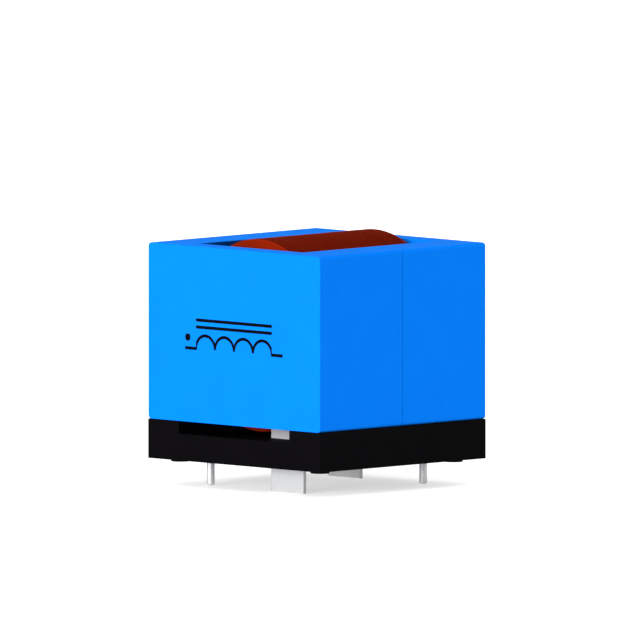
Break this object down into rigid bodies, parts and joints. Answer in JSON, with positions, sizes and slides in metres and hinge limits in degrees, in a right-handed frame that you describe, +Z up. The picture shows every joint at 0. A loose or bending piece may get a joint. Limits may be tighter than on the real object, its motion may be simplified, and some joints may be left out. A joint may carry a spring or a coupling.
{
  "type": "power factor correction choke",
  "caption": "Power factor correction choke: edge-wound flat-wire coil in a blue-coated split core with open top, on a black moulded base with flat terminals and round locating pins.",
  "frame": {"origin": "on the seating plane under the four standoffs, midway between the two locating pins and under the middle of the core", "axes": "+X to the right along the front face, +Y from the front to the rear along the coil's axis, +Z up from the board"},
  "size_m": [0.038, 0.0366, 0.0394],
  "materials": {
    "black_moulding": "moulded black thermoset, faint satin",
    "tinned_pin": "dipped tin, satin",
    "enamelled_copper": "clear red-brown enamel on copper; the two ends are bare and tinned",
    "insulating_film": "thin film tube, matt",
    "blue_core_coat": "baked epoxy coat on pressed powder, satin"
  },
  "bodies": {
    "root": {"base": "black_moulding", "locating_pin_front": "tinned_pin", "locating_pin_rear": "tinned_pin", "winding": "enamelled_copper", "post_sleeve": "insulating_film", "core_half_front": "blue_core_coat", "core_half_rear": "blue_core_coat"}
  },
  "joints": []
}
